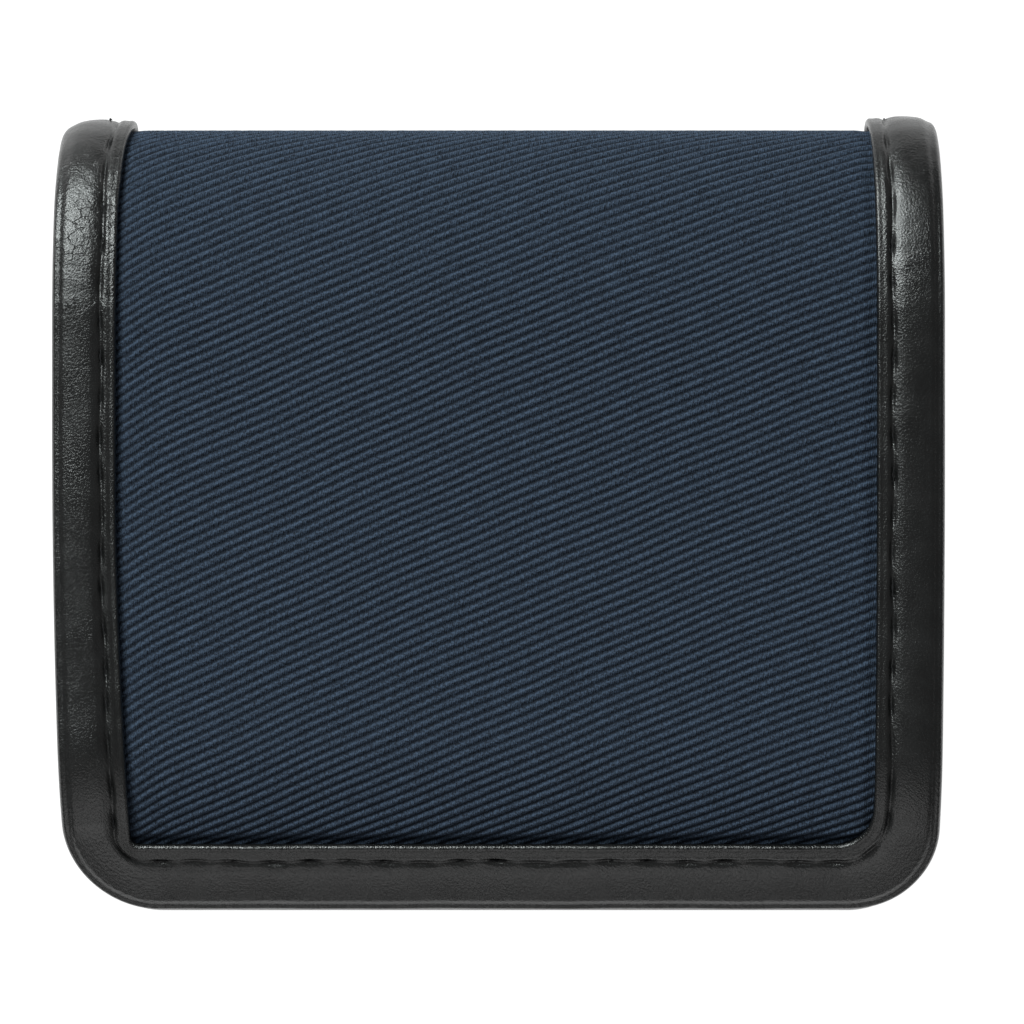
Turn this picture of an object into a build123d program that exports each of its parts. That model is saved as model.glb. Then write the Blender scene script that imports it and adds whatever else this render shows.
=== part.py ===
"""Fold-over travel document organizer: two padded covers joined by a soft spine, lying on its back.

Every layer of the covers and the spine follows one cross-section line, the outer face of the fabric.
It starts at the back cover's free edge, runs along the table, turns round the fold and comes back over
the front cover. A place on it is a length s along that line and a height h above it: fabric, board and
lining have negative h, and the leather binding stands proud with positive h. The YZ plane holds the
cross-section, and X is the width. The origin is under the middle of the organizer, on the table.
"""

import os
from math import atan2, cos, degrees, radians, sin

from build123d import *

# Overall size
WIDTH = 146.0
DEPTH = 132.5
CORNER_RADIUS = 15.0

# Layers, as thicknesses
BINDING_PROUD = 1.8
FABRIC = 0.9
BOARD = 1.4
LINING = 0.6
BINDING_LEATHER = 1.2
BORDER_WIDTH = 10.6
INNER_FLANGE_WIDTH = 8.4

# Cross-section of the fabric's outer face: straight runs and arcs that all turn the same way
BACK_EDGE_RUN = 12.0
BACK_EDGE_LIFT = 15.0
BACK_EDGE_RADIUS = 40.0
FOLD_ARCS = ((5.0, 90.0), (14.0, 45.0), (26.0, 25.0), (58.0, 20.0))
FRONT_EDGE_DROP = 30.0
FRONT_EDGE_RADIUS = 32.0
FRONT_EDGE_RUN = 12.8
FRONT_SHORTER = 0.6

# Where the spine bends when the cover opens, as headings of the cross-section
SPINE_BENDS = (0.0, 105.0, 160.0)

# Pockets
POCKET_HALF = 64.0
WALL = 0.8
PANEL = 0.8
COIN_SPACE = 4.5
COIN_BOTTOM = -43.0
COIN_TOP = 43.5
PASSPORT_BOTTOM = -45.0
PASSPORT_MOUTH = 30.0
PASSPORT_PANEL_TOP = 17.3
THUMB_NOTCH_RADIUS = 12.0
SLOT_LEATHER = 0.4
SLOT_GAP = 0.8
SLOT_SEAM = 2.0
SLOT_LEFT, SLOT_RIGHT = -61.0, 29.0
SLOT_MOUTHS = (24.0, 12.0, 0.0)
SLOT_DEPTH = 40.0
SLOT_BOTTOM = -42.0
SMALL_POCKET = (34.0, 61.0, -38.0, -4.0)
TICKET_GAP = 1.0
TICKET_LEATHER = 0.6
TICKET_MOUTH = 12.0
TICKET_SEAM = 3.0

# Zip fastener of the coin pocket
ZIP_Y = 37.0
ZIP_WINDOW = (114.0, 6.4)
ZIP_WINDOW_CORNER = 2.9
TAPE_THICKNESS = 0.5
TAPE_WIDTH = 5.4
TAPE_GAP = 0.1
TAPE_LENGTH = 120.0
TOOTH_PITCH = 2.0
TOOTH_SIZE = (0.88, 1.6, 1.0)
TOOTH_CORNER = 0.25
TOOTH_OVERLAP = 0.35
TEETH = 54
STOP_X = 55.2
STOP_SIZE = (1.4, 3.6, 1.2)
SLIDER_X = -49.5
SLIDER_PLATE = (9.0, 7.2, 0.8)
SLIDER_CORNER = 2.4
SLIDER_GAP = 0.2
SLIDER_FLANGE = (6.0, 0.6, 0.85)
BRIDGE = (6.0, 1.2, 1.85)
BRIDGE_WALL = (0.8, 0.7)
PIVOT_Z = 11.75
PULLER_LENGTH = 9.8
PULLER_HALF_WIDTH = 2.5
PULLER_BAR = 0.5
PULLER_ARM_INSIDE = 1.4
PULLER_ARM_LENGTH = 4.6
PULLER_CORNER = 1.2
PULLER_HOLE = (2.4, 1.1)

# Pen loop in the gutter of the fold
PEN_RADIUS = 4.8
LOOP_WALL = 0.9
LOOP_WIDTH = 28.0
LOOP_Y = 51.5
LOOP_FOOT = (14.0, 0.5)


def edge_reach(tilt):
    """How far the binding's edge stands past the end of the fabric's outer face, in plan."""
    return BINDING_LEATHER * cos(radians(tilt)) + BINDING_PROUD * sin(radians(tilt))


# Worked out from the above
STACK = FABRIC + BOARD + LINING
BINDING_INNER = STACK + BINDING_LEATHER
HALF = WIDTH / 2
STACK_HALF = HALF - BINDING_LEATHER
WINDOW_HALF = HALF - BORDER_WIDTH
FLANGE_HALF = HALF - INNER_FLANGE_WIDTH
STACK_CORNER = CORNER_RADIUS - BINDING_LEATHER
BACK_END_Y = -DEPTH / 2 + edge_reach(BACK_EDGE_LIFT)
FOLD_START_Y = DEPTH / 2 - BINDING_PROUD - FOLD_ARCS[0][0]
TALL = 60.0


def build_segments():
    """Segments of the cross-section: start length, length, start point, start heading, radius or None."""
    lift = radians(BACK_EDGE_LIFT)
    edge_y = BACK_EDGE_RUN * cos(lift) + BACK_EDGE_RADIUS * sin(lift)
    edge_z = BACK_EDGE_RUN * sin(lift) + BACK_EDGE_RADIUS * (1 - cos(lift))
    back_flat = FOLD_START_Y - (BACK_END_Y + edge_y)
    fold_y = sum(arc_step(r, a, b)[0] for r, a, b in fold_headings())
    drop = radians(FRONT_EDGE_DROP)
    front_edge = FRONT_EDGE_RUN * cos(drop) + FRONT_EDGE_RADIUS * sin(drop)
    front_end_y = -DEPTH / 2 + FRONT_SHORTER + edge_reach(FRONT_EDGE_DROP)
    front_flat = (FOLD_START_Y + fold_y) - (front_end_y + front_edge)
    pieces = [(BACK_EDGE_RUN, None), (BACK_EDGE_RADIUS * lift, BACK_EDGE_RADIUS), (back_flat, None)]
    pieces += [(r * radians(turn), r) for r, turn in FOLD_ARCS]
    pieces += [(front_flat, None), (FRONT_EDGE_RADIUS * drop, FRONT_EDGE_RADIUS), (FRONT_EDGE_RUN, None)]
    y, z, heading, start, segments = BACK_END_Y, BINDING_PROUD + edge_z, -lift, 0.0, []
    for length, radius in pieces:
        segments.append((start, length, (y, z), heading, radius))
        if radius is None:
            y, z = y + length * cos(heading), z + length * sin(heading)
        else:
            turned = heading + length / radius
            y += radius * (sin(turned) - sin(heading))
            z += radius * (cos(heading) - cos(turned))
            heading = turned
        start += length
    return segments


def fold_headings():
    """Radius, start heading and end heading of each arc of the fold, in radians."""
    heading, found = 0.0, []
    for radius, turn in FOLD_ARCS:
        found.append((radius, heading, heading + radians(turn)))
        heading += radians(turn)
    return found


def arc_step(radius, start, end):
    """Step in y and z along an arc between two headings."""
    return radius * (sin(end) - sin(start)), radius * (cos(start) - cos(end))


SEGMENTS = build_segments()
S_END = SEGMENTS[-1][0] + SEGMENTS[-1][1]


def segment_at(s):
    """The segment that holds length s. The first and last run on past their ends."""
    for segment in SEGMENTS:
        if s <= segment[0] + segment[1] + 1e-9:
            return segment
    return SEGMENTS[-1]


def heading_at(s):
    """Heading of the cross-section at length s, in radians."""
    start, _, _, heading, radius = segment_at(s)
    return heading if radius is None else heading + (s - start) / radius


def place(s, h, segment=None):
    """The point (y, z) at length s and height h above the fabric's outer face."""
    start, _, (y, z), heading, radius = segment or segment_at(s)
    if radius is None:
        y, z = y + (s - start) * cos(heading), z + (s - start) * sin(heading)
    else:
        step_y, step_z = arc_step(radius, heading, heading + (s - start) / radius)
        y, z = y + step_y, z + step_z
        heading += (s - start) / radius
    return y + h * sin(heading), z - h * cos(heading)


def length_at_heading(wanted):
    """Length along the fold where the cross-section has the wanted heading, in degrees."""
    start = SEGMENTS[3][0]
    for radius, first, last in fold_headings():
        if radians(wanted) <= last + 1e-9:
            return start + radius * (radians(wanted) - first)
        start += radius * (last - first)
    return start


BENDS = [length_at_heading(angle) for angle in SPINE_BENDS]
BACK = (0.0, BENDS[0])
FRONT = (BENDS[-1], S_END)


def band(s_range, low, high):
    """Draws the closed outline between two heights over a stretch of the cross-section."""
    s0, s1 = s_range
    spans = []
    for segment in SEGMENTS:
        first = s0 if segment is SEGMENTS[0] else max(s0, segment[0])
        last = s1 if segment is SEGMENTS[-1] else min(s1, segment[0] + segment[1])
        if last - first > 1e-6:
            spans.append((first, last, segment))
    for h in (low, high):
        for first, last, segment in spans:
            if segment[4] is None:
                Line(place(first, h, segment), place(last, h, segment))
            else:
                ends = [place(s, h, segment) for s in (first, (first + last) / 2, last)]
                ThreePointArc(*ends)
    for s, segment in ((s0, spans[0][2]), (s1, spans[-1][2])):
        Line(place(s, low, segment), place(s, high, segment))


def layer(s_range, low, high, half, mode=Mode.ADD):
    """Adds a layer of the cross-section, as wide as twice half, to the part being built."""
    with BuildSketch(Plane.YZ) as profile:
        with BuildLine():
            band(s_range, low, high)
        make_face()
    extrude(profile.sketch, amount=half, both=True, mode=mode)


def plan(half, y_edge, radius, mode=Mode.INTERSECT):
    """Keeps, or cuts, what stands over a plan whose two corners at the free edge are rounded."""
    length = DEPTH / 2 + TALL - y_edge
    with BuildSketch(Plane.XY.offset(-TALL)) as outline:
        with Locations((0, y_edge + length / 2)):
            Rectangle(2 * half, length)
        if radius:
            fillet(outline.vertices().group_by(Axis.Y)[0], radius)
    extrude(outline.sketch, amount=3 * TALL, mode=mode)


def block(x_range, y_range, z_range, mode=Mode.ADD):
    """Adds a box given by its two limits on each axis."""
    with BuildSketch(Plane.XY.offset(z_range[0])) as base:
        with Locations(((x_range[0] + x_range[1]) / 2, (y_range[0] + y_range[1]) / 2)):
            Rectangle(x_range[1] - x_range[0], y_range[1] - y_range[0])
    extrude(base.sketch, amount=z_range[1] - z_range[0], mode=mode)


def save(piece, name):
    """Labels a finished piece and writes its STEP file."""
    piece.part.label = name
    export_step(piece.part, f"parts/{name}.step")


def cover_edges(side):
    """Where the free edge, the inner side of the border and that of the inner flange lie in plan."""
    end, inward = (0.0, 1) if side == "back" else (S_END, -1)
    edge = min(place(end - inward * BINDING_LEATHER, h)[0] for h in (BINDING_PROUD, -BINDING_INNER))
    border = place(end + inward * (BORDER_WIDTH - BINDING_LEATHER), BINDING_PROUD / 2)[0]
    flange = place(end + inward * (INNER_FLANGE_WIDTH - BINDING_LEATHER), -BINDING_INNER)[0]
    return edge, border, flange


def make_cover(side, s_range):
    """Fabric, board, lining and binding of the back or the front cover."""
    edge, border, flange = cover_edges(side)
    under_board = FABRIC + BOARD
    depths = {"outer_fabric": (0, FABRIC), "board": (FABRIC, under_board), "lining": (under_board, STACK)}
    for name, (top, bottom) in depths.items():
        with BuildPart() as sheet:
            layer(s_range, -bottom, -top, STACK_HALF)
            plan(STACK_HALF, edge + BINDING_LEATHER, STACK_CORNER)
        save(sheet, f"{side}_{name}")

    wide = (s_range[0] - (BINDING_LEATHER if side == "back" else 0),
            s_range[1] + (BINDING_LEATHER if side == "front" else 0))
    with BuildPart() as stack_room:
        layer(wide, -STACK, 0, STACK_HALF)
        plan(STACK_HALF, edge + BINDING_LEATHER, STACK_CORNER)
    with BuildPart() as window_room:
        layer(wide, 0, 2 * BINDING_PROUD, WINDOW_HALF)
        plan(WINDOW_HALF, border, CORNER_RADIUS - BORDER_WIDTH)
    with BuildPart() as flange_room:
        layer(wide, -2 * STACK, -STACK, FLANGE_HALF)
        plan(FLANGE_HALF, flange, CORNER_RADIUS - INNER_FLANGE_WIDTH)
    with BuildPart() as binding:
        layer(wide, -BINDING_INNER, BINDING_PROUD, HALF)
        plan(HALF, edge, CORNER_RADIUS)
        for room in (stack_room, window_room, flange_room):
            add(room.part, mode=Mode.SUBTRACT)
    save(binding, f"{side}_binding")


def make_spine(number, s_range):
    """Fabric, padded lining and the two edge straps of one strip of the spine."""
    with BuildPart() as fabric:
        layer(s_range, -FABRIC, 0, STACK_HALF)
    save(fabric, f"spine_fabric_{number}")
    with BuildPart() as lining:
        layer(s_range, -STACK, -FABRIC, STACK_HALF)
    save(lining, f"spine_lining_{number}")
    with BuildPart() as straps:
        layer(s_range, -BINDING_INNER, BINDING_PROUD, HALF)
        layer(s_range, -STACK, 0, STACK_HALF, Mode.SUBTRACT)
        layer(s_range, 0, BINDING_PROUD, WINDOW_HALF, Mode.SUBTRACT)
        layer(s_range, -BINDING_INNER, -STACK, FLANGE_HALF, Mode.SUBTRACT)
    save(straps, f"spine_straps_{number}")


def make_seamed_pocket(name, x_range, y_range, depth, z_base, gap, leather, seam, outward):
    """A flat pocket of a given depth: a panel over a seam on three sides, open towards the fold."""
    z_seam = sorted((z_base, z_base + outward * gap))
    z_panel = sorted((z_base + outward * gap, z_base + outward * (gap + leather)))
    inside = (x_range[0] + seam, x_range[1] - seam)
    with BuildPart() as pocket:
        block(x_range, y_range, z_seam)
        block(inside, (y_range[1] - depth, y_range[1]), z_seam, Mode.SUBTRACT)
        block(x_range, y_range, z_panel)
    save(pocket, name)
    return z_base + outward * (gap + leather)


def make_back_pockets():
    """Zipped coin pocket with stepped card slots and a small pocket on its front panel."""
    floor = BINDING_PROUD + STACK
    panel_low = floor + COIN_SPACE
    panel_high = panel_low + PANEL
    walls = (-POCKET_HALF, POCKET_HALF)
    with BuildPart() as gusset:
        block(walls, (COIN_BOTTOM, COIN_TOP), (floor, panel_low))
        block((walls[0] + WALL, walls[1] - WALL), (COIN_BOTTOM + WALL, COIN_TOP - WALL),
              (floor, panel_low), Mode.SUBTRACT)
    save(gusset, "coin_pocket_gusset")

    window_x, window_y = ZIP_WINDOW[0] / 2, ZIP_WINDOW[1] / 2
    with BuildPart() as panel:
        block(walls, (COIN_BOTTOM, COIN_TOP), (panel_low, panel_high))
        block((-window_x, window_x), (ZIP_Y - window_y, ZIP_Y + window_y),
              (panel_low, panel_high), Mode.SUBTRACT)
        upright = panel.edges().filter_by(Axis.Z).group_by(Axis.X)
        fillet(upright[1] + upright[-2], ZIP_WINDOW_CORNER)
    save(panel, "coin_pocket_panel")

    make_zip(panel_low)
    z = panel_high
    for number, mouth in enumerate(SLOT_MOUTHS, 1):
        z = make_seamed_pocket(f"card_slot_{number}", (SLOT_LEFT, SLOT_RIGHT), (SLOT_BOTTOM, mouth),
                               SLOT_DEPTH, z, SLOT_GAP, SLOT_LEATHER, SLOT_SEAM, 1)
    x0, x1, y0, y1 = SMALL_POCKET
    make_seamed_pocket("small_pocket", (x0, x1), (y0, y1), y1 - y0 - SLOT_SEAM, panel_high,
                       SLOT_GAP, SLOT_LEATHER, SLOT_SEAM, 1)


def make_zip(panel_low):
    """Tapes, teeth, end stops, slider and puller of the coin pocket's zip."""
    tape_z = (panel_low - TAPE_THICKNESS, panel_low)
    tooth_x, tooth_y, tooth_z = TOOTH_SIZE
    teeth_z = (panel_low, panel_low + tooth_z)
    first = -(TEETH - 1) * TOOTH_PITCH / 2 + TOOTH_PITCH / 4
    for side, sign in (("upper", 1), ("lower", -1)):
        near, far = ZIP_Y + sign * TAPE_GAP / 2, ZIP_Y + sign * (TAPE_GAP / 2 + TAPE_WIDTH)
        with BuildPart() as tape:
            block((-TAPE_LENGTH / 2, TAPE_LENGTH / 2), sorted((near, far)), tape_z)
        save(tape, f"zip_tape_{side}")
        shift = first if sign > 0 else first - TOOTH_PITCH / 2
        centre_y = ZIP_Y + sign * (tooth_y / 2 - TOOTH_OVERLAP)
        with BuildPart() as teeth:
            with BuildSketch(Plane.XY.offset(teeth_z[0])):
                with Locations(*[(shift + i * TOOTH_PITCH, centre_y) for i in range(TEETH)]):
                    RectangleRounded(tooth_x, tooth_y, TOOTH_CORNER)
            extrude(amount=tooth_z)
        save(teeth, f"zip_teeth_{side}")

    stop_x, stop_y, stop_z = STOP_SIZE
    with BuildPart() as stops:
        for x in (-STOP_X, STOP_X):
            block((x - stop_x / 2, x + stop_x / 2), (ZIP_Y - stop_y / 2, ZIP_Y + stop_y / 2),
                  (teeth_z[0], teeth_z[0] + stop_z))
    save(stops, "zip_end_stops")
    make_slider(teeth_z[1] + SLIDER_GAP)
    make_puller()


def make_slider(plate_z):
    """The slider's top plate with its two flanges beside the teeth and the bridge for the puller."""
    length, width, thickness = SLIDER_PLATE
    flange_length, flange_width, flange_depth = SLIDER_FLANGE
    bridge_length, bridge_width, bridge_height = BRIDGE
    post, roof = BRIDGE_WALL
    top = plate_z + thickness
    bridge_x = (SLIDER_X - bridge_length / 2, SLIDER_X + bridge_length / 2)
    bridge_y = (ZIP_Y - bridge_width / 2, ZIP_Y + bridge_width / 2)
    with BuildPart() as slider:
        with BuildSketch(Plane.XY.offset(plate_z)):
            with Locations((SLIDER_X, ZIP_Y)):
                RectangleRounded(length, width, SLIDER_CORNER)
        extrude(amount=thickness)
        for sign in (-1, 1):
            outer = ZIP_Y + sign * SLIDER_CORNER + sign * flange_width / 2
            flange_y = sorted((outer - sign * flange_width, outer))
            block((SLIDER_X - flange_length / 2, SLIDER_X + flange_length / 2), flange_y,
                  (plate_z - SLIDER_GAP - flange_depth, plate_z))
        block(bridge_x, bridge_y, (top, top + bridge_height))
        block((bridge_x[0] + post, bridge_x[1] - post), bridge_y, (top, top + bridge_height - roof),
              Mode.SUBTRACT)
    save(slider, "zip_slider")


def make_puller():
    """The puller: a pierced tab with two arms, joined by the pin that turns under the bridge."""
    arm_width = PULLER_HALF_WIDTH - PULLER_ARM_INSIDE
    tab_length = PULLER_LENGTH - PULLER_ARM_LENGTH + arm_width
    hole_inset, hole_radius = PULLER_HOLE
    with BuildPart() as puller:
        with BuildSketch(Plane.XY.offset(PIVOT_Z - PULLER_BAR)):
            with Locations((SLIDER_X + PULLER_LENGTH - tab_length / 2 + PULLER_BAR, ZIP_Y)):
                RectangleRounded(tab_length, 2 * PULLER_HALF_WIDTH, PULLER_CORNER)
            with Locations((SLIDER_X + PULLER_LENGTH - hole_inset, ZIP_Y)):
                Circle(hole_radius, mode=Mode.SUBTRACT)
            for sign in (-1, 1):
                with Locations((SLIDER_X + PULLER_ARM_LENGTH / 2,
                                ZIP_Y + sign * (PULLER_ARM_INSIDE + arm_width / 2))):
                    Rectangle(PULLER_ARM_LENGTH, arm_width)
        extrude(amount=2 * PULLER_BAR)
        with BuildSketch(Plane.XZ.offset(-ZIP_Y)):
            with Locations((SLIDER_X, PIVOT_Z)):
                Circle(PULLER_BAR)
        extrude(amount=PULLER_HALF_WIDTH, both=True)
    save(puller, "zip_puller")


def make_front_pockets():
    """Passport pocket under the front cover, with a ticket sleeve on its panel."""
    walls = (-POCKET_HALF, POCKET_HALF)
    panel = (PASSPORT_PANEL_TOP - PANEL, PASSPORT_PANEL_TOP)
    with BuildPart() as gusset:
        layer(FRONT, -4 * STACK, -STACK, STACK_HALF)
        block(walls, (PASSPORT_BOTTOM, PASSPORT_MOUTH), (panel[1], TALL), Mode.INTERSECT)
        block((walls[0] + WALL, walls[1] - WALL), (PASSPORT_BOTTOM + WALL, TALL), (0, TALL), Mode.SUBTRACT)
    save(gusset, "passport_pocket_gusset")

    with BuildPart() as front_panel:
        block(walls, (PASSPORT_BOTTOM, PASSPORT_MOUTH), panel)
        with BuildSketch(Plane.XY.offset(panel[0])):
            with Locations((0, PASSPORT_MOUTH)):
                Circle(THUMB_NOTCH_RADIUS)
        extrude(amount=PANEL, mode=Mode.SUBTRACT)
    save(front_panel, "passport_pocket_panel")

    make_seamed_pocket("ticket_sleeve", walls, (PASSPORT_BOTTOM, TICKET_MOUTH),
                       TICKET_MOUTH - PASSPORT_BOTTOM - TICKET_SEAM, panel[0],
                       TICKET_GAP, TICKET_LEATHER, TICKET_SEAM, -1)


def make_pen_loop():
    """Elastic loop on a sewn foot, with its bore along X."""
    foot_z = BINDING_PROUD + STACK
    centre_z = foot_z + LOOP_FOOT[1] + LOOP_WALL + PEN_RADIUS
    with BuildPart() as loop:
        block((-LOOP_WIDTH / 2, LOOP_WIDTH / 2), (LOOP_Y - LOOP_FOOT[0] / 2, LOOP_Y + LOOP_FOOT[0] / 2),
              (foot_z, foot_z + LOOP_FOOT[1]))
        with BuildSketch(Plane.YZ):
            with Locations((LOOP_Y, centre_z)):
                Circle(PEN_RADIUS + LOOP_WALL)
            with Locations((LOOP_Y, foot_z + LOOP_FOOT[1] + LOOP_WALL / 2)):
                Rectangle(PEN_RADIUS, LOOP_WALL)
            with Locations((LOOP_Y, centre_z)):
                Circle(PEN_RADIUS, mode=Mode.SUBTRACT)
        extrude(amount=LOOP_WIDTH / 2, both=True)
    save(loop, "pen_loop")
    return centre_z


def report_hinges():
    """Prints the hinge axes on the leather's outer face and the turn of each for a flat open cover."""
    points = [place(s, BINDING_PROUD) for s in BENDS]
    steps = [(b[0] - a[0], b[1] - a[1]) for a, b in zip(points, points[1:])]
    chords = [degrees(atan2(dz, dy)) for dy, dz in steps]
    reach = sum((dy * dy + dz * dz) ** 0.5 for dy, dz in steps)
    face_z = place(SEGMENTS[7][0], BINDING_PROUD)[1]
    climb = degrees(atan2(face_z - points[-1][1], reach))
    turns = [chords[0] - climb] + [b - a for a, b in zip(chords, chords[1:])]
    turns.append(180.0 - sum(turns))
    for point, turn in zip(points, turns):
        print("hinge at", [round(v, 3) for v in point], "opens by", round(turn, 3))


os.makedirs("parts", exist_ok=True)
make_cover("back", BACK)
make_cover("front", FRONT)
for strip, stretch in enumerate(zip(BENDS, BENDS[1:]), 1):
    make_spine(strip, stretch)
make_back_pockets()
make_front_pockets()
print("pen loop centre height", make_pen_loop())
report_hinges()
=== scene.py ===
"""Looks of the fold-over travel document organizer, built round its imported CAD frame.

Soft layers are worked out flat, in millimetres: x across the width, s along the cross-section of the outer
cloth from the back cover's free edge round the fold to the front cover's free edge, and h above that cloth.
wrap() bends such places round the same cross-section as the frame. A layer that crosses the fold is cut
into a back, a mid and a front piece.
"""

from math import cos, pi, radians, sin

import bpy
import numpy as np
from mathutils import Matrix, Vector
from mathutils.geometry import tessellate_polygon


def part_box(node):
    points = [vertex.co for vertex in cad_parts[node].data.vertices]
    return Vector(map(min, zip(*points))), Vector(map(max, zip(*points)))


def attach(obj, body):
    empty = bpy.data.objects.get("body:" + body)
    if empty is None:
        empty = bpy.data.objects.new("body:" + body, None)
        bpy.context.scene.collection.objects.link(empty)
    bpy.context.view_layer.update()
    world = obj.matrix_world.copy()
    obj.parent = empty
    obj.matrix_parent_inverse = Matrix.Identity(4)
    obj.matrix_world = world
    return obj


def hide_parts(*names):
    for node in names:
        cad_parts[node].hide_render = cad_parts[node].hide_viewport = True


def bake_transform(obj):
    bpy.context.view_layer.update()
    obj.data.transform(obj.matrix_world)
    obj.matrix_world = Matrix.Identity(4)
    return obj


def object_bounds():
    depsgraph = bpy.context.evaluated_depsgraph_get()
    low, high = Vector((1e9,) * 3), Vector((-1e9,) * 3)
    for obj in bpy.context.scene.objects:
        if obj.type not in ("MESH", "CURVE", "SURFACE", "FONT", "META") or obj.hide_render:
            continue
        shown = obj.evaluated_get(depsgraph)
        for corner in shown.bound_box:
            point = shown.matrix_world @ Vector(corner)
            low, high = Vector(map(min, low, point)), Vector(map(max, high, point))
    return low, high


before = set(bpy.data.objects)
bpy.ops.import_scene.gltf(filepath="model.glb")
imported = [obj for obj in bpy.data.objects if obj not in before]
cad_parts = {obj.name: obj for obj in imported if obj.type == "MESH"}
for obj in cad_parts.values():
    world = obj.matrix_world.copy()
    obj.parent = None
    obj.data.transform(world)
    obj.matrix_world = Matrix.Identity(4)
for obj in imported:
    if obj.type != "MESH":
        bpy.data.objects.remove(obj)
FRAME_LOW, FRAME_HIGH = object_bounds()
MM = 0.001

# Size, from the frame
WIDTH = (FRAME_HIGH.x - FRAME_LOW.x) / MM
DEPTH = (FRAME_HIGH.y - FRAME_LOW.y) / MM
HALF = WIDTH / 2

# Layers, as heights above the outer cloth's face
PROUD = 1.8
LINING_FACE = -2.9
EDGE_LEATHER = 1.2

# Cross-section of the outer cloth's face
BACK_EDGE = (12.0, 15.0, 40.0)
FOLD_ARCS = ((5.0, 90.0), (14.0, 45.0), (26.0, 25.0), (58.0, 20.0))
FRONT_EDGE = (12.8, 30.0, 32.0)
FRONT_SHORTER = 0.6

# Where the continuous layers are cut, as headings of the cross-section
CUT_HEADINGS = (52.5, 132.5)

# Covers get narrower towards their free edges: the loss at the left and the right side
TAPER_FROM, TAPER_SPAN = 14.0, 55.6
TAPER_LOSS = (1.0, 0.42)

# Binding
CORNERS = {-1: 15.3, 1: 14.2}
LIP = 10.4
GROOVE = 8.05
SHARP_FROM, SHARP_AT, SHARP_RADIUS = 6.5, 9.6, 1.4
RIGHT_WINDOW_RADIUS = 6.2
END_WIDER = {"front": 1.24, "back": 1.0}
RIGHT_WIDER, LEFT_CORNER_WIDER = 0.07, 0.085
FOLD_WIDER = {-1: 0.20, 1: 0.05}
ROW_STEP = 0.55
CORNER_ROWS = 38
STITCH_PITCH = 6.3
STITCH_LENGTH = 5.0
THREAD, THREAD_FACES = 0.18, ((0.9, 1), (-3.6, -1))

# Over the fold the binding's outer edge is rounder, most at the left, and its right strap stands higher
FOLD_ROUNDING = (0.38, 0.72)
STRAP_RISE = 0.5

# Outer cloth
RIB_PITCH = 1.42
RIB_HEIGHT = 0.42
RIB_ACROSS, RIB_SIDEWAYS, RIB_CURVE = 0.92, 0.39, -2.6e-4

# Sheets: half width, distance from the free edges, and mesh steps across and along
CLOTH_SIZE = (64.0, 7.9, 0.8, 0.24)
LINING_SIZE = (67.5, 4.0, 1.6, 0.35)

# Boards: gap to the edge leather, faces, softened edge and distance between rows. They end before the free
# edges. The back one also ends before the fold, and the front one reaches onto it
BOARD_GAP, BOARD_TOP, BOARD_BOTTOM = 0.4, -1.3, -2.25
BOARD_SOFT, BOARD_STEP = (0.25, 0.3), 2.0
BOARD_SHORT, BACK_BOARD_SHORT, FRONT_BOARD_OVER = 1.0, 5.5, 10.0

# Flat pockets: width of the sewn edge, depth inside and leather thickness
CARD_SLOT, SMALL_POCKET, TICKET_SLEEVE = (2.0, 40.0, 0.4), (2.0, 32.0, 0.4), (3.0, 54.0, 0.6)
SLOT_CORNER, EDGE_CORNER, EDGE_BACK = 2.6, 2.4, 0.2

# Pockets with gussets: corner radii, and the gussets' leather thickness and depth of pleat
POCKET_CORNER, POCKET_MOUTH = 3.0, 2.0
COIN_PLEAT, PASSPORT_PLEAT = (0.7, 0.9), (0.7, 1.3)
SEAM_PITCH, SEAM_THREAD, SEAM_INSET = 2.6, 0.15, 1.4
THUMB_NOTCH = (12.0, 12.0)
NOTCH_MOUTH, NOTCH_SPARE = 2.3, 2.7

# Zip and pen loop
ZIP_WINDOW, ZIP_WINDOW_RADIUS, ZIP_GROOVE = (114.0, 6.4), 2.9, 0.95
TAPE_RIB = 0.9
LOOP_FOOT, LOOP_WALL, LOOP_RIB = 0.5, 0.9, 1.4
METAL_EDGE = 0.12

# Camera
CAMERA_ABOVE = 0.87
CAMERA_SHIFT = (0.0022, 0.00075)
SENSOR = 36.0
VIEW_WIDTH = 0.1669

# Studio: a light's place, size, watts and colour, and the floor's glow from near to far, in metres
WORLD_STRENGTH = 0.16
SOFTBOX = ((-0.42, 0.71, 0.8), (0.55, 0.42), 15.8, (0.93, 1.0, 0.99))
FILL = ((-0.08, -0.75, 0.62), (0.9, 0.5), 1.5)
FLOOR_REACH, FLOOR_HEIGHT, FLOOR_GLOW = 4.0, -0.0004, (0.15, 0.7, 1.0, 0.3)


# -------- cross-section


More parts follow.
